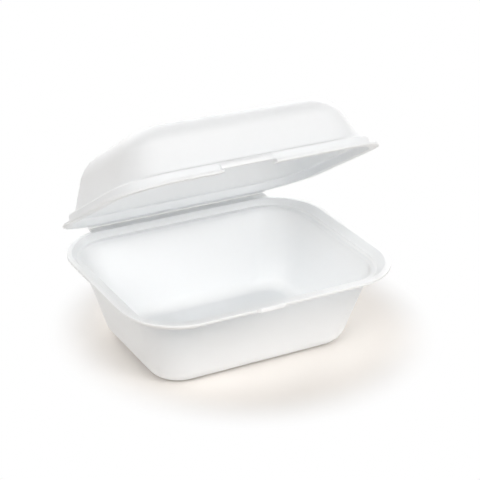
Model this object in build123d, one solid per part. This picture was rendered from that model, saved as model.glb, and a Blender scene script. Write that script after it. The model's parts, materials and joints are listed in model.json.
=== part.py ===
from build123d import *
import os
from dataclasses import dataclass, replace
from math import hypot, sqrt

# A hinged foam food container, pressed from one sheet of expanded foam: a tray, a lid and
# the creased strip that joins them. The strip bends, so the sheet is two solids that part
# at the crease.
# +X runs along the hinge, +Y towards it, +Z up. The origin is on the tray's underside,
# below the middle of its rim.

# The sheet
foam = 2.0                 # thickness of walls, floor and top
flange = 1.7               # thickness of the pressed rims
edge_break = 0.4           # bevel on the rims' outer edges
closing_gap = 0.3          # between the two rims when the lid is down

# The rim that both halves share, seen from above
rim_length = 180.0
rim_width = 140.0
rim_corner = 37.0

# The tray, food side
tray_height = 56.0
mouth_inset = 3.4          # flat of the rim
mouth_shift = 0.5          # how far the mouth stands towards the hinge
mouth_break = 0.6          # bevel where the rim turns down into the collar
seat_drop = 4.4            # from the rim down to the stacking ledge
seat_inset = 6.8           # ledge, outer edge
ledge_width = 3.4
bowl_shift = 2.4           # how far the ledge and the floor stand towards the hinge
seat_break = 0.5           # bevel on the ledge's inner edge
step_drop = 1.0            # slope from the ledge down to the wall
step_run = 2.6
wall_shift = 4.0           # how far the top of the wall stands towards the hinge
wall_corner = 23.8
floor_length = 127.4       # food side, before the bottom edge is rounded
floor_width = 86.6
floor_corner = 17.0
floor_round = 9.1

# The lid, outer side
lid_height = 37.9          # from the rims' parting plane to the top
lid_rim_inset = 4.4        # flat of the rim
collar_height = 6.9
collar_run = 0.7
collar_break = 0.8         # bevel on the collar's top edge
dome_inset = 4.2           # from the collar's top edge in to the foot of the dome
dome_corner = 26.0
dome_foot_fill = 0.9       # slope that fills the angle at the dome's foot
top_length = 137.5         # before the top edge is rounded
top_width = 101.0
top_corner = 21.0
top_round = 17.0
top_shift = 1.9            # how far the top stands towards the front

# The hinge strip, creased along its middle
hinge_length = 128.0
hinge_centre = 3.0
hinge_reach = 4.0          # from the rims' back edge to the crease
hinge_web = 1.1
crease_gap = 0.25          # from the crease to each half of the strip
groove = 0.5               # depth of the score beside each rim
open_angle = 33.0          # how far the lid stands open

# The lock: a tongue on the tray's rim stands in a notch in the lid's rim
lock_centre = -10.0
tongue_length = 22.0
tongue_reach = 2.3         # how far it stands out past the rim
tongue_lip = 1.1           # how far its bead stands above the rim
tongue_corner = 2.0
bead_width = 3.0
bead_corner = 1.2
bead_break = 0.3
notch_play = 6.0           # beside the tongue, at each end of the notch
notch_rise = 1.3           # how far the notch cuts into the collar
pocket_depth = 1.4         # the collar is pressed in behind the notch
pocket_height = 5.0
pocket_corner = 2.0

on_line = 0.02             # an edge this near to a ring lies along it


@dataclass
class Ring:
    """A level rounded rectangle: the plan of one edge of the foam, at its height."""

    length: float
    width: float
    corner: float
    height: float
    shift: float = 0.0

    def grown(self, margin, **changes):
        """The plan with its four sides moved out by a margin, and then what else is named."""
        length = self.length + 2 * margin
        width = self.width + 2 * margin
        wider = replace(self, length=length, width=width, corner=self.corner + margin)
        return replace(wider, **changes)

    def part_way(self, other, share):
        """The plan a share of the way along the straight wall from this ring to another."""
        return Ring(
            self.length + share * (other.length - self.length),
            self.width + share * (other.width - self.width),
            self.corner + share * (other.corner - self.corner),
            self.height + share * (other.height - self.height),
            self.shift + share * (other.shift - self.shift))

    def at_height(self, other, height):
        """The plan at a height on the wall from this ring to another."""
        return self.part_way(other, (height - self.height) / (other.height - self.height))

    def moved(self, other, distance):
        """The plan a distance down or up the wall from this ring to another."""
        wall = hypot((other.width - self.width) / 2, other.height - self.height)
        return self.part_way(other, distance / wall)

    def face(self):
        outline = RectangleRounded(self.length, self.width, self.corner)
        return (Pos(0, self.shift, self.height) * outline).face()


def level_thickness(lower, upper):
    """The foam's thickness measured level, on the leaning wall between two rings."""
    return foam * hypot(1.0, (upper.width - lower.width) / 2 / (upper.height - lower.height))


def stack(*rings):
    """The solid inside a wall that runs straight from each ring to the next."""
    body = None
    for lower, upper in zip(rings, rings[1:]):
        if lower.height != upper.height:
            stage = loft([lower.face(), upper.face()], ruled=True)
            body = stage if body is None else body + stage
    return body


def bevel(before, ring, after, size):
    """The two rings between which the section cuts across its corner at a ring."""
    return ring.moved(before, size), ring.moved(after, size)


def round_line(body, ring, radius):
    """Rounds the edges of a body that lie along a ring."""
    line = ring.face().outer_wire()
    return fillet([e for e in body.edges() if line.distance_to(e @ 0.5) < on_line], radius)


def slab(x_middle, length, y_low, y_high, z_low, z_high):
    """A plain block from its limits."""
    block = Box(length, y_high - y_low, z_high - z_low)
    return Pos(x_middle, (y_low + y_high) / 2, (z_low + z_high) / 2) * block


def rounded_slab(corner, *limits):
    """A block whose upright edges are rounded."""
    block = slab(*limits)
    return fillet(block.edges().filter_by(Axis.Z), corner)


rim = Ring(rim_length, rim_width, rim_corner, tray_height)
parting = tray_height + closing_gap
rim_front = -rim_width / 2
rim_back = rim_width / 2
crease_y = rim_back + hinge_reach
crease_z = tray_height + closing_gap / 2
beyond = 2 * rim_front     # well outside the rim, where a cut from the front starts


def pressed_rim(bottom):
    """The flat rim, with its outer edges bevelled."""
    top = bottom + flange
    return stack(
        rim.grown(-edge_break, height=bottom), rim.grown(0, height=bottom + edge_break),
        rim.grown(0, height=top - edge_break), rim.grown(-edge_break, height=top))


def strip_half(bottom, inner_face):
    """Half of the hinge strip, from inside the rim to the crease, scored along the rim's edge."""
    root = rim_back - rim_corner
    top = bottom + hinge_web
    web = slab(hinge_centre, hinge_length, root, crease_y - crease_gap, bottom, top)
    side = groove * sqrt(2)
    score = Pos(hinge_centre, rim_back + groove, inner_face) * Rot(45, 0, 0) * Box(hinge_length, side, side)
    return web - score


def make_tongue():
    """The lock's tongue: a lip beyond the front rim that carries an upstanding bead."""
    tip = rim_front - tongue_reach
    root = rim_front + mouth_inset
    top = tray_height + tongue_lip
    lip = rounded_slab(
        tongue_corner, lock_centre, tongue_length, tip, root, tray_height - flange, tray_height)
    bead = rounded_slab(
        bead_corner, lock_centre, tongue_length, tip, tip + bead_width, tray_height, top)
    return lip + chamfer(bead.faces().sort_by(Axis.Z)[-1].edges(), bead_break)


def make_tray():
    """The lower half: a stepped bowl hung from the rim, with the lock's tongue."""
    seat_height = tray_height - seat_drop
    mouth = rim.grown(-mouth_inset, shift=mouth_shift)
    seat = rim.grown(-seat_inset, height=seat_height, shift=bowl_shift)
    brink = seat.grown(-ledge_width, corner=wall_corner)
    step = brink.grown(-step_run, height=seat_height - step_drop, shift=wall_shift)
    floor = Ring(floor_length, floor_width, floor_corner, foam, bowl_shift)

    hollow = stack(
        floor, step, *bevel(step, brink, seat, seat_break), seat, mouth.moved(seat, mouth_break),
        mouth.grown(mouth_break))
    hollow = round_line(hollow, floor, floor_round)

    under_seat = seat_height - foam
    leaning = level_thickness(floor, step)
    base = step.at_height(floor, 0.0).grown(leaning)
    wall_top = step.at_height(floor, under_seat).grown(leaning)
    collar_foot = seat.grown(foam, height=under_seat)
    collar_top = mouth.grown(foam)
    shell = stack(base, wall_top, collar_foot, collar_top)
    shell = round_line(shell, base, floor_round + foam)

    rim_plate = pressed_rim(tray_height - flange)
    strip = strip_half(tray_height - hinge_web, tray_height)
    return shell + rim_plate + strip + make_tongue() - hollow


def make_lid():
    """The upper half as it lies when shut: a collar and a domed top, with the lock's notch."""
    collar_foot = rim.grown(-lid_rim_inset, height=parting)
    collar_top = collar_foot.grown(-collar_run, height=parting + collar_height)
    dome_foot = collar_top.grown(-dome_inset, corner=dome_corner)
    top = Ring(top_length, top_width, top_corner, parting + lid_height, -top_shift)
    outside = stack(
        collar_foot, *bevel(collar_foot, collar_top, dome_foot, collar_break),
        *bevel(collar_top, dome_foot, top, dome_foot_fill), top)
    outside = round_line(outside, top, top_round)

    under_ledge = collar_top.height - foam
    leaning = level_thickness(dome_foot, top)
    mouth = collar_foot.grown(-foam)
    collar_head = collar_top.grown(-foam, height=under_ledge)
    dome_root = dome_foot.at_height(top, under_ledge).grown(-leaning)
    ceiling = dome_foot.at_height(top, top.height - foam).grown(-leaning)
    inside = stack(mouth, collar_head, dome_root, ceiling)
    inside = round_line(inside, ceiling, top_round - foam)

    length = tongue_length + 2 * notch_play
    low = parting - closing_gap
    face = rim_front + lid_rim_inset + pocket_depth
    back = face + foam
    head = parting + pocket_height
    pocket = rounded_slab(pocket_corner, lock_centre, length, beyond, face, low, head)
    backing = rounded_slab(
        pocket_corner + foam, lock_centre, length + 2 * foam, beyond, back, low, head + foam)
    notch = slab(lock_centre, length, beyond, back, low, parting + notch_rise)

    body = outside + pressed_rim(parting) - pocket + strip_half(parting, parting)
    body = body - (inside - backing) - notch
    return body.rotate(Axis((0, crease_y, crease_z), (-1, 0, 0)), open_angle)


os.makedirs("parts", exist_ok=True)
for name, body in {"base_tray": make_tray(), "lid": make_lid()}.items():
    export_step(body.solid(), f"parts/{name}.step")
    print(name, "solids", len(body.solids()), "volume", round(body.volume, 1), body.bounding_box())
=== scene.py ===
# %% [markdown]
# # A hinged foam food box
# The object is a food box pressed from one sheet of white expanded foam: a tray, a domed
# lid and a creased strip that joins them. It stands partly open. The tray and the lid are
# rigid, and the strip bends between them when the lid moves.
# This file builds the visible skin of those three around a packed model that already
# holds the sizes, the bodies and the joint. The scene is in metres.

# %% Load the fixed frame
import json
from dataclasses import dataclass, replace

import bmesh
import bpy
import numpy as np
from mathutils import Matrix, Vector


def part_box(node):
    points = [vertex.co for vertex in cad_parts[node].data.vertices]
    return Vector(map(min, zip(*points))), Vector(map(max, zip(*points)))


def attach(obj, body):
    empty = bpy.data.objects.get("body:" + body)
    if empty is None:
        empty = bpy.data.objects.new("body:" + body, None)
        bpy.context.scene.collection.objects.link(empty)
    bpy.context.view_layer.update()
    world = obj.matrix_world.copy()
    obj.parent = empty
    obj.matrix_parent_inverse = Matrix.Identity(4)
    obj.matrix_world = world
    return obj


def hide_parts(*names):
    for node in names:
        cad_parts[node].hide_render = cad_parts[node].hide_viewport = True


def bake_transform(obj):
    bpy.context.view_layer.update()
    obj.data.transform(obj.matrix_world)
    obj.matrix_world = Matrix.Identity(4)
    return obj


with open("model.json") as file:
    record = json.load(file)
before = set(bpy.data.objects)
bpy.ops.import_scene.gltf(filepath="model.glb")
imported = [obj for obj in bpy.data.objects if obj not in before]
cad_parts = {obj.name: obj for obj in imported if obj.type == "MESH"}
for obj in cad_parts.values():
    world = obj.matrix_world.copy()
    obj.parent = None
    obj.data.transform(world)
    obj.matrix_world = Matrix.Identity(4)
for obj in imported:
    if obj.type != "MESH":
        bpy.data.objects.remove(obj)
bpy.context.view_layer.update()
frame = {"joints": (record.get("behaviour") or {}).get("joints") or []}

tray_high = np.array(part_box("base_tray")[1])
hinge = frame["joints"][0]
crease = np.array(hinge["pos_m"])
open_angle = np.radians(-hinge["range_deg"][0])
print("lid open by", round(float(np.degrees(open_angle)), 1), "degrees")

# %% [markdown]
# ## The sizes
# The sheet, the rim, the ledges and the hinge strip are a few millimetres each. So sizes
# are written in millimetres, once, and turned into metres as each mesh is made.
# What the frame already knows, such as the rim's length and the crease, is read from it,
# so the skin can't drift away from the solids.

# %% The box's sizes in millimetres
MM = 0.001
foam = 2.0
flange = 1.7
parting_gap = 0.3
rim_half_length = tray_high[0] / MM
rim_half_width = 70.0
rim_corner = 37.0
crease_y, crease_z = crease[1] / MM, crease[2] / MM
tray_height = crease_z - parting_gap / 2
parting = tray_height + parting_gap
lock_centre = -10.0
rim_size = np.round([2 * rim_half_length, 2 * rim_half_width], 2).tolist()
print("rim", rim_size, "mm at height", round(float(tray_height), 2))

# %% [markdown]
# ## The camera
# The photograph looks down on the box from its front left corner. A camera can be placed
# by eye, or worked out. Here it is worked out: three angles, a distance and a small step
# sideways and up put the rim's outline where the photograph has it. The long lens keeps
# the far edges nearly parallel, as there.

# %% Camera at the photograph's angle
view_azimuth = np.radians(-29.48)
view_elevation = np.radians(25.41)
view_roll = np.radians(1.24)
view_distance = 956.92
view_right = 7.01
view_up = 9.23
view_target_height = 56.28
focal_pixels = 1559.84
image_pixels = 480
sensor_width = 36.0
nearest, farthest = 0.01, 20.0


def direction(azimuth, elevation):
    """The unit vector to an azimuth, counted from the front towards the right, and an
    elevation: (sin A cos E, -cos A cos E, sin E)."""
    level = np.cos(elevation)
    return np.array([np.sin(azimuth) * level, -np.cos(azimuth) * level, np.sin(elevation)])


def camera_axes(back, roll):
    """Right and up of a camera whose back points from the object to it. Right is level
    before the roll, which turns both about back: (c R + s U, c U - s R)."""
    right = np.cross(-back, [0, 0, 1])
    right = right / np.linalg.norm(right)
    up = np.cross(right, -back)
    c, s = np.cos(roll), np.sin(roll)
    return c * right + s * up, c * up - s * right


back = direction(view_azimuth, view_elevation)
right, up = camera_axes(back, view_roll)
target = np.array([0, 0, view_target_height])
place = target + view_distance * back + view_right * right + view_up * up
pose = np.eye(4)
pose[:3] = np.stack([right, up, back, place * MM], 1)

lens = bpy.data.cameras.new("photo_camera")
lens.sensor_width = sensor_width
lens.lens = focal_pixels / image_pixels * sensor_width
lens.clip_start, lens.clip_end = nearest, farthest
camera = bpy.data.objects.new("photo_camera", lens)
bpy.context.scene.collection.objects.link(camera)
camera.matrix_world = Matrix(pose.tolist())
bpy.context.scene.camera = camera
print("lens", round(lens.lens, 1), "mm at", np.round(place * MM, 3).tolist())

# %% [markdown]
# ## A rounded rectangle carried down a section
# Every edge of the box is a level rounded rectangle: rim, ledge, foot of the dome, edge
# of the floor. A stick of length r slides round a smaller rectangle and turns by a
# quarter at each corner, and its tip draws the shape. So one list of stick positions and
# directions serves every ring, and the whole shell is two outer products: no ring is
# drawn by hand, and rings of different corner radius still line up point by point.

# %% Stick positions round the rectangle
corner_steps = 20
side_steps = 44
front_steps = 70
least_apart = 0.08
straight_half = rim_half_length - rim_corner
notch_ends = lock_centre + np.array([-19.0, 15.0])
tongue_ends = lock_centre + np.array([-8.5, 8.5])


def front_stations():
    """Positions along the front side in mm: even, with more close to each end of the lock's
    tongue and notch, where the rim changes within a fraction of a millimetre."""
    even = np.linspace(-straight_half, straight_half, front_steps)
    beside = np.array([0.12, 0.25, 0.5, 0.8, 1.2, 1.8, 2.4])
    near = np.concatenate([-beside[::-1], [0.0], beside])
    close = np.concatenate([end + near for end in (*notch_ends, *tongue_ends)])
    stations = np.sort(np.concatenate([even, close]))
    apart = np.concatenate([[True], np.diff(stations) > least_apart])
    return stations[apart]


def sticks():
    """Arrays cx, cy, ux, uy round the rectangle, starting at the front side's left end and
    going to the right: the stick's root is (cx, cy) times the smaller rectangle's half
    sides, and its direction is (ux, uy). On a side one of cx, cy runs from -1 to 1 or back
    and the direction stays. In a corner both stay and the direction turns by a quarter."""
    front = front_stations() / straight_half
    side = np.linspace(-1, 1, side_steps + 2)
    arc = np.linspace(0, np.pi / 2, corner_steps + 2)[1:-1]
    one = np.ones_like
    corner = one(arc)
    cx = [front, corner, one(side), corner, front[::-1], -corner, -one(side), -corner]
    cy = [-one(front), -corner, side, corner, one(front), corner, -side, -corner]
    angle = [
        -np.pi / 2 * one(front), arc - np.pi / 2, 0 * side, arc,
        np.pi / 2 * one(front), arc + np.pi / 2, np.pi * one(side), arc + np.pi]
    cx, cy, angle = (np.concatenate(part) for part in (cx, cy, angle))
    return cx, cy, np.cos(angle), np.sin(angle)


stick_x, stick_y, stick_ux, stick_uy = sticks()
print(stick_x.size, "points round each ring")

# %% [markdown]
# ## Rings
# One edge of the box is one ring: a level rounded rectangle at its height, with the bend
# that the foam makes on it. The rings are worked out from each other, as the box's edges
# are: a ledge is the rim moved in and down, and the outside is the inside moved out.


# %% One edge of the box
@dataclass
class Ring:
    """A level rounded rectangle in millimetres: half length, half width, corner radius,
    shift towards the hinge and height, and how the section bends on it."""

    a: float
    b: float
    r: float
    shift: float
    height: float
    bend: float = 0.0
    steps: int = 6

    def grown(self, margin, **changes):
        """The ring with all sides moved out by a margin, then what else is named."""
        wider = replace(self, a=self.a + margin, b=self.b + margin, r=self.r + margin)
        return replace(wider, **changes)

    def towards(self, other, height):
        """The ring at a height on the straight wall from this one to another."""
        t = (height - self.height) / (other.height - self.height)
        plan = {
            name: getattr(self, name) + t * (getattr(other, name) - getattr(self, name))
            for name in ("a", "b", "r", "shift")}
        return replace(self, height=height, **plan)

    def row(self):
        return np.array([self.a, self.b, self.r, self.shift, self.height])


print("moved out by 2 mm:", Ring(90, 70, 37, 0, 56).grown(2))

# %% [markdown]
# ## Sections with rounded corners
# Pressed foam has no sharp edge. A Bevel modifier could round the edges of a plain shell,
# but it gives each corner of the section the same care. So the section is a short list of
# rings, each with a bend of its own, and the foam is straight between them. Each bend is
# a rational quadratic curve, which is an exact circular arc when its middle weight is the
# cosine of half the turn.

# %% A section rounded at each of its rings
shared_share, whole_share = 0.48, 0.96
shortest = 1e-6


def arc(start, knot, end, turn, steps):
    """The bend from start to end about a knot, with w = cos(turn / 2):
    ((1-t)^2 A + 2 w t (1-t) K + t^2 B) / ((1-t)^2 + 2 w t (1-t) + t^2)."""
    t = np.linspace(0, 1, steps)[:, None]
    w = np.cos(turn / 2)
    curve = (1 - t) ** 2 * start + 2 * w * t * (1 - t) * knot + t ** 2 * end
    return curve / ((1 - t) ** 2 + 2 * w * t * (1 - t) + t ** 2)


def section(rings, spans):
    """Samples of a section through rings, one row each, as Ring.row gives them. At each
    ring the two straights are cut back by bend * tan(turn / 2) and joined by an arc. Two
    bends that share a straight take at most half of it each. spans counts the steps on
    each straight. The turns are those of the front side, where a ring lies at b - shift."""
    knots = np.array([ring.row() for ring in rings])
    bends = np.array([ring.bend for ring in rings])
    plane = np.stack([knots[:, 1] - knots[:, 3], knots[:, 4]], 1)
    step = np.diff(plane, axis=0)
    length = np.maximum(np.linalg.norm(step, axis=1), shortest)
    heading = step / length[:, None]
    shared = (bends[:-1] > 0) & (bends[1:] > 0)
    room = length * np.where(shared, shared_share, whole_share)
    rows = [knots[:1]]
    last = knots[0]
    for i in range(1, len(rings) - 1):
        turn = np.arccos(np.clip(heading[i - 1] @ heading[i], -1, 1))
        cut = min(bends[i] * np.tan(turn / 2), room[i - 1], room[i])
        start = knots[i] + (knots[i - 1] - knots[i]) * cut / length[i - 1]
        end = knots[i] + (knots[i + 1] - knots[i]) * cut / length[i]
        even = np.linspace(0, 1, spans[i - 1] + 1)[1:-1, None]
        rows += [last + (start - last) * even, arc(start, knots[i], end, turn, rings[i].steps)]
        last = end
    even = np.linspace(0, 1, spans[-1] + 1)[1:, None]
    rows.append(last + (knots[-1] - last) * even)
    return np.concatenate(rows)


def carried(rows):
    """The shell's points, one row of points per sample of the section:
    x = cx (a - r) + ux r and y = cy (b - r) + uy r + shift, all as outer products."""
    a, b, r, shift, height = rows.T
    x = np.outer(a - r, stick_x) + np.outer(r, stick_ux)
    y = np.outer(b - r, stick_y) + np.outer(r, stick_uy) + shift[:, None]
    return np.stack([x, y, np.broadcast_to(height[:, None], x.shape)], 2)


bend = 0.5
right_angle = [Ring(0, 0, 0, 0, 0), Ring(0, 1, 0, 0, 0, bend), Ring(0, 1, 0, 0, 1)]
bent = section(right_angle, [1, 1])[1:-1]
radii = np.hypot(bent[:, 1] - (1 - bend), bent[:, 4] - bend)
print("a bend of", bend, "has the radii", np.round(radii, 6).tolist())

# %% [markdown]
# ## From a grid to a mesh
# A shell's grid is closed round the ring, and its first and last rings have shrunk to a
# line, where the front and back points fall together. Merging them closes the sheet, so
# it has an inside and an outside and no open edge. A Solidify modifier could give one
# sheet its thickness instead, but it would carry each step of the food side over to the
# outside, which is plainer.


# %% A closed mesh from a grid of points
merge_distance = 0.00002
sliver = 0.00001


def grid_faces(rings, around):
    """Quads of a grid that closes on itself along its second index."""
    i, j = np.meshgrid(np.arange(rings - 1), np.arange(around), indexing="ij")
    here, there = i * around, (i + 1) * around
    k = (j + 1) % around
    return np.stack([here + j, here + k, there + k, there + j], 2).reshape(-1, 4)


def make_shell(name, points):
    """A mesh object from points in millimetres in a grid [section, around, xyz]."""
    faces = grid_faces(points.shape[0], points.shape[1])
    mesh = bpy.data.meshes.new(name)
    mesh.from_pydata((points.reshape(-1, 3) * MM).tolist(), [], faces.tolist())
    work = bmesh.new()
    work.from_mesh(mesh)
    bmesh.ops.remove_doubles(work, verts=work.verts, dist=merge_distance)
    bmesh.ops.dissolve_degenerate(work, edges=work.edges, dist=sliver)
    bmesh.ops.recalc_face_normals(work, faces=work.faces)
    open_edges = sum(1 for edge in work.edges if not edge.is_manifold)
    work.to_mesh(mesh)
    work.free()
    mesh.shade_smooth()
    piece = bpy.data.objects.new(name, mesh)
    bpy.context.scene.collection.objects.link(piece)
    triangles = sum(len(face.vertices) - 2 for face in mesh.polygons)
    print(name, len(mesh.vertices), "points", triangles, "triangles", open_edges, "open edges")
    return piece


print("a grid of 3 rings of 4 points has", len(grid_faces(3, 4)), "quads")

# %% [markdown]
# ## The tray
# The real tray is the sheet pressed into a bowl: a floor with a wide soft edge, four
# leaning walls, a short steep step up to the ledge that the next box stacks on, the
# collar, and the flat rim. The section goes from the middle of the floor up the food
# side, over the rim and back down the outside to the middle of the underside.

# %% The tray's food side
mouth_inset, mouth_shift = 3.4, 0.5
seat_inset, ledge_depth, ledge_width = 6.8, 4.4, 3.4
brink_corner = 23.8
step_run, step_drop, step_shift = 1.6, 1.8, 3.0
wall_run, wall_drop, wall_shift = 2.6, 1.0, 4.0
floor_half_length, floor_half_width, floor_corner = 63.7, 43.3, 17.0
floor_round, floor_round_steps = 9.1, 16
floor_flat_inset = 9.0
bowl_shift = 2.4

rim = Ring(rim_half_length, rim_half_width, rim_corner, 0.0, tray_height, bend=0.6)
mouth = rim.grown(-mouth_inset, shift=mouth_shift, bend=1.0)
seat = rim.grown(-seat_inset, height=tray_height - ledge_depth, shift=bowl_shift, bend=1.0)
brink = seat.grown(-ledge_width, r=brink_corner, bend=0.9)
step = brink.grown(-step_run, height=brink.height - step_drop, shift=step_shift, bend=0.9)
wall_top = brink.grown(-wall_run, height=brink.height - wall_drop, shift=wall_shift)
floor_edge = Ring(
    floor_half_length, floor_half_width, floor_corner, bowl_shift, foam, floor_round,
    floor_round_steps)
floor_flat = floor_edge.grown(-floor_flat_inset, bend=0.0, steps=1)
print("ledge", ledge_width, "mm wide at height", round(float(seat.height), 2))

# %% [markdown]
# The outside follows the food side at the sheet's thickness. On a leaning wall that
# thickness is measured square to the wall, so measured level it is a little more.


# %% The tray's outside
def centre_line(ring):
    """The ring shrunk until its front and back meet in a line."""
    return Ring(ring.a - ring.b, 0.0, 0.0, ring.shift, ring.height)


def level_foam(lower, upper):
    """The sheet's thickness measured level on a leaning wall: foam / cos(lean)."""
    return foam * np.hypot(1.0, (upper.b - lower.b) / (upper.height - lower.height))


wall = level_foam(floor_edge, wall_top)
under_rim = tray_height - flange
rim_low = rim.grown(0, height=under_rim)
collar_low = seat.grown(foam, height=seat.height - foam, bend=1.2)
collar_root = replace(collar_low.towards(mouth.grown(foam), under_rim), bend=0.5)
wall_high = wall_top.towards(floor_edge, collar_low.height).grown(wall, bend=1.0)
base = wall_top.towards(floor_edge, 0.0).grown(
    wall, bend=floor_round + foam, steps=floor_round_steps)
base_flat = base.grown(-floor_flat_inset - foam, bend=0.0, steps=1)
print("wall", round(float(wall), 2), "mm thick measured level")

# %% [markdown]
# The lock's tongue is a stretch of the rim that stands out a little further and carries a
# bead. It could be a block joined to the rim, but pressed foam has no such joint. So the
# section there is a second list of the same rings with some moved, and each point of the
# shell is mixed from the two by how far along the front it stands.

# %% The tray's shell
tongue_reach = 2.2
tongue_lip = 1.3
tongue_soft = 2.0
bead_inset, bead_span = 0.9, 0.4
bead_foot, bead_head = -0.2, 0.6
facing_front = -0.999


def smooth(t):
    """t^2 (3 - 2 t), with t held between 0 and 1."""
    t = np.clip(t, 0, 1)
    return t * t * (3 - 2 * t)


def mixed_shell(plain, lock, spans, ends, soft):
    """The shell of the plain section, changed to the lock's section along the front: the
    share of the lock's is 1 between two ends and 0 outside, and rises over a width."""
    one = carried(section(plain, spans))
    other = carried(section(lock, spans))
    x = one[:, :, 0]
    share = smooth(np.minimum(x - ends[0], ends[1] - x) / soft + 0.5)
    share = share * (stick_uy < facing_front)[None, :]
    return one + (other - one) * share[:, :, None]


bead_inner = rim.grown(-bead_inset, bend=0.5)
tray_plain = [
    centre_line(floor_flat), floor_flat, floor_edge, step, brink, seat, mouth, bead_inner,
    bead_inner.grown(bead_span), rim, rim_low, collar_root, collar_low, wall_high, base, base_flat,
    centre_line(base_flat)]
tray_spans = [14, 2, 20, 1, 2, 3, 2, 1, 1, 2, 2, 3, 2, 20, 2, 14]
tongue_high = tray_height + tongue_lip
bead = tray_plain.index(bead_inner)
tray_lock = list(tray_plain)
tray_lock[bead:bead + 4] = [
    bead_inner.grown(bead_foot), bead_inner.grown(bead_head, height=tongue_high),
    rim.grown(tongue_reach, height=tongue_high), rim_low.grown(tongue_reach)]
tray = make_shell(
    "foam_tray", mixed_shell(tray_plain, tray_lock, tray_spans, tongue_ends, tongue_soft))
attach(tray, "tray")
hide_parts("base_tray")

# %% [markdown]
# ## The lid
# The lid has a flat rim, a collar, a shoulder and a domed top with a wide soft edge. It is
# drawn shut, lying on the tray, because its rings are level there. Afterwards it is turned
# about the crease by the angle at which the frame holds it open.

# %% The lid's rings
collar_inset, collar_run, collar_height = 4.4, 0.7, 6.9
shoulder_width, dome_corner = 4.2, 26.0
top_half_length, top_half_width, top_corner, top_shift = 68.75, 50.5, 21.0, 1.9
lid_height, top_round, top_round_steps = 37.9, 17.0, 20
top_flat_inset, ceiling_flat_inset = 16.0, 15.0
swell_foot, swell_head = 4.6, 5.0

edge_low = rim.grown(0, height=parting, bend=0.3)
edge_high = rim.grown(0, height=parting + flange, bend=0.3)
collar_foot = rim.grown(-collar_inset, height=parting)
collar_top = collar_foot.grown(-collar_run, height=parting + collar_height, bend=1.4)
dome_foot = collar_top.grown(-shoulder_width, r=dome_corner, bend=1.6)
lid_top = Ring(
    top_half_length, top_half_width, top_corner, -top_shift, parting + lid_height, top_round,
    top_round_steps)
top_flat = lid_top.grown(-top_flat_inset, bend=0.0, steps=1)
lid_root = replace(collar_foot.towards(collar_top, parting + flange), bend=0.6)
swell_low = replace(collar_foot.towards(collar_top, parting + swell_foot), bend=0.4)
swell_high = replace(collar_foot.towards(collar_top, parting + swell_head), bend=0.4)

lid_wall = level_foam(dome_foot, lid_top)
under_shoulder = collar_top.height - foam
lid_mouth = collar_foot.grown(-foam, bend=0.8)
collar_head = collar_top.grown(-foam, height=under_shoulder, bend=0.8)
dome_root = dome_foot.towards(lid_top, under_shoulder).grown(-lid_wall, bend=1.0)
ceiling = dome_foot.towards(lid_top, lid_top.height - foam).grown(
    -lid_wall, bend=top_round - foam, steps=top_round_steps)
ceiling_flat = ceiling.grown(-ceiling_flat_inset, bend=0.0, steps=1)
lid_plain = [
    centre_line(ceiling_flat), ceiling_flat, ceiling, dome_root, collar_head, lid_mouth,
    edge_low, edge_high, lid_root, swell_low, swell_high, collar_top, dome_foot, lid_top,
    top_flat, centre_line(top_flat)]
lid_spans = [14, 2, 18, 2, 2, 2, 1, 2, 1, 1, 1, 2, 18, 2, 14]
print("lid wall", round(float(lid_wall), 2), "mm thick measured level")

# %% [markdown]
# In front the lid's rim is cut away over the tongue. The collar above the cut swells out
# a little to make room for it, and a shallow groove parts the swell from the collar's top.
# A Boolean cut would leave ragged edges in a thin sheet. Instead the rings of the rim fold
# back onto the collar there.

# %% The lid's shell
notch_rise = 2.5
notch_soft = 0.5
lip_depth, lip_round = 0.5, 0.1
swell_reach, swell_full = 0.9, 4.0
swell_end, swell_end_inset = 5.8, 0.4

swell = collar_foot.grown(swell_reach)
lip_height = parting + notch_rise
head = lid_plain.index(collar_head)
lid_lock = list(lid_plain)
lid_lock[head:head + 6] = [
    swell.grown(-foam, height=under_shoulder, bend=0.8),
    swell.grown(-foam, height=lip_height, bend=0.4),
    swell.grown(-lip_depth, height=lip_height, bend=0.4),
    swell.grown(0, height=lip_height + lip_round, bend=0.3),
    swell.grown(0, height=parting + swell_full, bend=0.4),
    swell.grown(-swell_end_inset, height=parting + swell_end, bend=0.8)]


def turned_open(points, angle):
    """Points of the shut lid turned about the crease, so that the front lifts:
    y' = y cos A + z sin A and z' = z cos A - y sin A, counted from the crease."""
    y, z = points[:, :, 1] - crease_y, points[:, :, 2] - crease_z
    c, s = np.cos(angle), np.sin(angle)
    return np.stack([points[:, :, 0], y * c + z * s + crease_y, z * c - y * s + crease_z], 2)


lid_points = mixed_shell(lid_plain, lid_lock, lid_spans, notch_ends, notch_soft)
lid = make_shell("foam_lid", turned_open(lid_points, open_angle))
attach(lid, "lid")
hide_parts("lid")

# %% [markdown]
# ## The hinge strip
# The strip is the same sheet pressed thin, with a low rounded rib on each side of the
# crease and a score beside each rim. It could be cut in two like the solids, but then it
# would tear open as the lid moves. So it is one piece: its section is drawn flat and
# folded about the crease as far as the lid stands open.

# %% The strip's flat section
hinge_length, hinge_centre, hinge_reach = 128.0, 3.0, 4.0
web = 1.1
crease_thinning, crease_width = 0.8, 0.9
strip_root = 1.2
rib_place, rib_width, rib_height = 1.9, 0.8, 0.13
score_depth, score_start, score_run = 0.5, 0.9, 0.8
crease_zone, crease_samples, side_samples = 1.2, 33, 26


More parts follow.
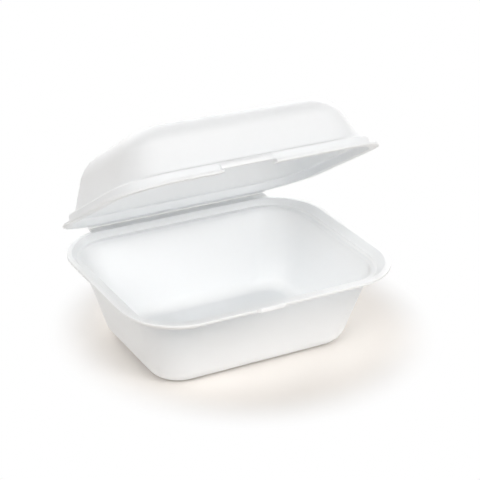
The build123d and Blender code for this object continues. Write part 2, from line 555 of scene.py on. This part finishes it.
def strip_sides():
    """Distances s from the crease on the flat strip, and the heights of its two sides there.
    The upper side is level, plus a rib exp(-((|s| - place) / width)^2), less the score that
    sinks it inside the rims. The under side is the upper one's level less the web, which
    thins to 0.3 mm at the crease."""
    far = hinge_reach + strip_root
    s = np.concatenate([
        np.linspace(-far, -crease_zone, side_samples),
        np.linspace(-crease_zone, crease_zone, crease_samples)[1:-1],
        np.linspace(crease_zone, far, side_samples)])
    level = -parting_gap / 2
    ribs = rib_height * np.exp(-((np.abs(s) - rib_place) / rib_width) ** 2)
    score = score_depth * smooth((np.abs(s) - hinge_reach + score_start) / score_run)
    upper = level + ribs - score
    lower = level - web + crease_thinning * np.exp(-(s / crease_width) ** 2)
    return s, upper, lower


strip_upper, strip_lower = strip_sides()[1:]
print("strip", round(float((strip_upper - strip_lower).min()), 2), "mm thick at the crease")

# %% [markdown]
# Folding bends the flat section about the crease within a millimetre and a half. The first
# and last stations along the hinge are squeezed to the sheet's middle, so the strip's ends
# are rounded and closed.

# %% The strip, folded
stations = 60
fold_width = 1.4
end_stations = 2
end_gap, end_zone = 0.15, 0.5


def folded_strip():
    """The closed section carried along the hinge, first folded: a point (s, h) turns about
    the crease by its share of the fold, (s cos B - h sin B, s sin B + h cos B)."""
    s, upper, lower = strip_sides()
    middle = (upper + lower) / 2
    share = smooth(s / fold_width + 0.5)
    count = np.arange(stations)
    end = np.clip(np.minimum(count, count[::-1]) / end_stations, 0, 1)
    open_end = np.sqrt(1 - (1 - end) ** 2)[:, None]
    upper, lower = middle + open_end * (upper - middle), middle + open_end * (lower - middle)
    heights = np.concatenate([upper, lower[:, ::-1]], axis=1)
    s = np.concatenate([s, s[::-1]])
    fold = (np.pi - open_angle) * np.concatenate([share, share[::-1]])
    y = s * np.cos(fold) - heights * np.sin(fold) + crease_y
    z = s * np.sin(fold) + heights * np.cos(fold) + crease_z
    between = stations - 2 * end_stations
    inner = np.linspace(-0.5, 0.5, between) * (hinge_length - 2 * end_zone)
    ends = hinge_length / 2 - np.array([0.0, end_gap])
    x = hinge_centre + np.concatenate([-ends, inner, ends[::-1]])
    return np.stack([np.broadcast_to(x[:, None], y.shape), y, z], 2)


strip = make_shell("hinge_strip", folded_strip())
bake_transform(strip)
print("strip", hinge_length, "x", 2 * hinge_reach, "mm")

# %% [markdown]
# ## Shader maths as expressions
# A finish is a small network of nodes. Wiring it by hand hides what it works out, so one
# class wraps an output and lets it be added and multiplied like a number, and one method
# adds any other node: its settings go in first, because they decide which sockets it has,
# and then the values or links of its sockets.


# %% A socket that can be reckoned with
class Reading:
    """An output of a finish's nodes. Arithmetic on it adds Math nodes."""

    def __init__(self, finish, socket):
        self.finish = finish
        self.socket = socket

    def maths(self, operation, other):
        return self.finish.node("ShaderNodeMath", {"operation": operation}, {0: self, 1: other})

    def __add__(self, other):
        return self.maths("ADD", other)

    def __mul__(self, other):
        return self.maths("MULTIPLY", other)

    __radd__ = __add__
    __rmul__ = __mul__

    def between(self, low, high):
        """0 below low, 1 above high, and a smooth rise from one to the other."""
        return self.finish.node(
            "ShaderNodeMapRange", {"interpolation_type": "SMOOTHSTEP"},
            {"Value": self, "From Min": low, "From Max": high})


class Finish:
    """A material or a surround being written: its nodes, its coordinates and its output."""

    def __init__(self, tree):
        self.tree = tree
        self.tree.nodes.clear()

    def node(self, kind, settings=None, sockets=None, output=0):
        """Adds a node, sets it up, fills its sockets and returns one of its outputs."""
        made = self.tree.nodes.new(kind)
        for name, value in (settings or {}).items():
            setattr(made, name, value)
        for key, value in (sockets or {}).items():
            if isinstance(value, Reading):
                self.tree.links.new(value.socket, made.inputs[key])
            else:
                made.inputs[key].default_value = value
        return Reading(self, made.outputs[output]) if made.outputs else made

    def place(self):
        return self.node("ShaderNodeTexCoord", output="Object")

    def noise(self, scale, detail):
        """Noise in the object's own space, from 0 to 1, with features 1 / scale metres apart."""
        return self.node(
            "ShaderNodeTexNoise", {}, {"Vector": self.place(), "Scale": scale, "Detail": detail})

    def blend(self, share, first, second):
        """A colour part of the way from the first to the second."""
        return self.node(
            "ShaderNodeMix", {"data_type": "RGBA"}, {0: share, 6: first, 7: second}, output=2)

    def looked_at(self):
        """1 for what the camera sees, straight, in a reflection or through glass, and 0 for
        what lights the object."""
        kinds = ("Is Camera Ray", "Is Glossy Ray", "Is Transmission Ray")
        straight, mirrored, through = (
            self.node("ShaderNodeLightPath", output=kind) for kind in kinds)
        return straight.maths("MAXIMUM", mirrored).maths("MAXIMUM", through)


def new_finish(name):
    """A new material and the finish that writes it."""
    material = bpy.data.materials.new(name)
    material.use_nodes = True
    return material, Finish(material.node_tree)


print("a finish can add:", [name for name in vars(Finish) if not name.startswith("_")])

# %% [markdown]
# ## The foam's skin
# Pressed foam is thousands of fine cells under a thin sealed skin. From a step away it is
# a clean, slightly cool white with a soft satin sheen, and light from behind shines
# through it. A plain white shader would look like painted card, so subsurface scattering
# over a few millimetres gives the glow. Close up the skin shows the cells as a very fine
# pebble grain, and the roughness wanders a little where the mould pressed harder. A cell
# pattern and a fine noise give the grain, through a bump of a few hundredths of a
# millimetre, and a slow noise makes the roughness wander.

# %% The foam finish
cell_scale, cell_smoothness, cell_share = 900.0, 0.6, 0.6
grain_scale, grain_detail, grain_share = 420.0, 3.0, 0.5
patch_scale, patch_detail, patch_low, patch_high = 28.0, 2.0, 0.35, 0.65
grain_depth, grain_strength = 0.00006, 0.35
skin_roughness, patch_roughness, grain_roughness = 0.46, 0.08, 0.06
sheen = 0.35
glow_share, glow_reach = 0.9, 0.004
cool_white, clean_white = (0.92, 0.948, 0.968, 1.0), (0.928, 0.954, 0.973, 1.0)

foam_skin, skin = new_finish("white_foam_skin")
cells = skin.node(
    "ShaderNodeTexVoronoi", {"feature": "SMOOTH_F1"},
    {"Vector": skin.place(), "Scale": cell_scale, "Smoothness": cell_smoothness},
    output="Distance")
grain = skin.noise(grain_scale, grain_detail)
pressed = skin.noise(patch_scale, patch_detail).between(patch_low, patch_high)
relief = cells * cell_share + grain * grain_share
tilt = skin.node(
    "ShaderNodeBump", {},
    {"Strength": grain_strength, "Distance": grain_depth, "Height": relief}, output="Normal")
surface = skin.node("ShaderNodeBsdfPrincipled", {}, {
    "Base Color": skin.blend(pressed, cool_white, clean_white), "Normal": tilt,
    "Roughness": pressed * patch_roughness + skin_roughness + grain * grain_roughness,
    "Specular IOR Level": sheen, "Subsurface Weight": glow_share,
    "Subsurface Scale": glow_reach, "Subsurface Radius": (1.0, 1.0, 1.0)})
skin.node("ShaderNodeOutputMaterial", {}, {"Surface": surface})
for piece in (tray, lid, strip):
    piece.data.materials.append(foam_skin)
print("foam finish on", [piece.name for piece in (tray, lid, strip)])

# %% [markdown]
# ## Floor and backdrop
# The photograph has the box on a white sweep, with a soft warm shadow close round it and
# clean white further off. The floor is a real, slightly warm white surface near the box,
# so it carries the shadow. About a hand's breadth from its middle it fades to the white
# of the backdrop, but only where it is looked at, so the fade adds no light to the object.
# The shade reaches a little further to the right and behind, so the middle lies that way.

# %% The floor
floor_half = 3.0
floor_low = -0.0001
fade_start, fade_end = 0.085, 0.125
fade_middle = np.array([0.016, 0.008])
warm_white, pure_white = (0.88, 0.838, 0.795, 1.0), (1.0, 1.0, 1.0, 1.0)

floor_mesh = bpy.data.meshes.new("floor")
corner_signs = ((-1, -1), (1, -1), (1, 1), (-1, 1))
floor_corners = [(x * floor_half, y * floor_half, floor_low) for x, y in corner_signs]
floor_mesh.from_pydata(floor_corners, [], [(0, 1, 2, 3)])
floor_piece = bpy.data.objects.new("floor", floor_mesh)
bpy.context.scene.collection.objects.link(floor_piece)

paper, sweep = new_finish("white_sweep")
from_middle = sweep.node(
    "ShaderNodeVectorMath", {"operation": "MULTIPLY_ADD"},
    {0: sweep.place(), 1: (1.0, 1.0, 0.0), 2: (*(-fade_middle), 0.0)})
reach = sweep.node(
    "ShaderNodeVectorMath", {"operation": "LENGTH"}, {0: from_middle}, output="Value")
far_off = reach.between(fade_start, fade_end) * sweep.looked_at()
matt = sweep.node("ShaderNodeBsdfPrincipled", {}, {
    "Base Color": warm_white, "Roughness": 0.9, "Specular IOR Level": 0.1})
glow = sweep.node("ShaderNodeEmission", {}, {"Color": pure_white, "Strength": 1.0})
faded = sweep.node("ShaderNodeMixShader", {}, {0: far_off, 1: matt, 2: glow})
sweep.node("ShaderNodeOutputMaterial", {}, {"Surface": faded})
floor_mesh.materials.append(paper)
print("floor", 2 * floor_half, "m wide, white past", fade_end, "m")

# %% [markdown]
# ## Light
# Much of the photograph's light comes from behind: low lamps at the back and the back right
# shine through the thin walls, which makes the tray's inside the brightest part. Lamps at
# the left, the front right and high in front light the lid's front and the rim. The
# surround is white only where it is looked at. Each level was found by rendering one lamp
# at a time and fitting the sum to the photograph, while the lamps' direct light on the
# most lit side of the standing box was held just under white.

# %% The surround
ambient = 0.02
sky_white = (0.98, 0.99, 1.0, 1.0)

world = bpy.data.worlds.new("surround")
world.use_nodes = True
bpy.context.scene.world = world
around = Finish(world.node_tree)
soft = around.node("ShaderNodeBackground", {}, {"Color": sky_white, "Strength": ambient})
backdrop = around.node("ShaderNodeBackground", {}, {"Color": pure_white, "Strength": 1.0})
mixed = around.node("ShaderNodeMixShader", {}, {0: around.looked_at(), 1: soft, 2: backdrop})
around.node("ShaderNodeOutputWorld", {}, {"Surface": mixed})
print("surround gives", ambient, "of white")

# %% [markdown]
# Each lamp is a wide square two metres off, which gives soft shadows and the same light
# all over the box. Its power follows from the level that it should give, so the numbers
# read as shares of white.

# %% The lamps
lamp_distance = 2.0
lamp_size = 1.0
lamp_aim = np.array([0, 0, 0.07])
lamps = {
    "back_right_lamp": (135, 10, 0.56), "back_lamp": (180, 20, 0.52),
    "left_lamp": (-60, 35, 0.46), "right_lamp": (30, 20, 0.37), "front_lamp": (0, 50, 0.32)}


def soft_lamp(name, azimuth, elevation, level):
    """A square lamp that looks at the box from an azimuth and an elevation in degrees. A
    white surface that faces it renders at the level, because a lamp of power P at distance
    d gives it P / (pi d)^2."""
    towards = direction(np.radians(azimuth), np.radians(elevation))
    lamp = bpy.data.lights.new(name, "AREA")
    lamp.size = lamp_size
    lamp.energy = level * (np.pi * lamp_distance) ** 2
    holder = bpy.data.objects.new(name, lamp)
    holder.location = (towards * lamp_distance + lamp_aim).tolist()
    holder.rotation_euler = Vector(towards.tolist()).to_track_quat("Z", "Y").to_euler()
    bpy.context.scene.collection.objects.link(holder)
    print(name, round(lamp.energy, 1), "W at", np.round(np.array(holder.location), 2).tolist())


for name, (azimuth, elevation, level) in lamps.items():
    soft_lamp(name, azimuth, elevation, level)

# %% [markdown]
# ## The view transform
# The render shows its levels through the Standard view transform.

bpy.context.scene.view_settings.view_transform = "Standard"
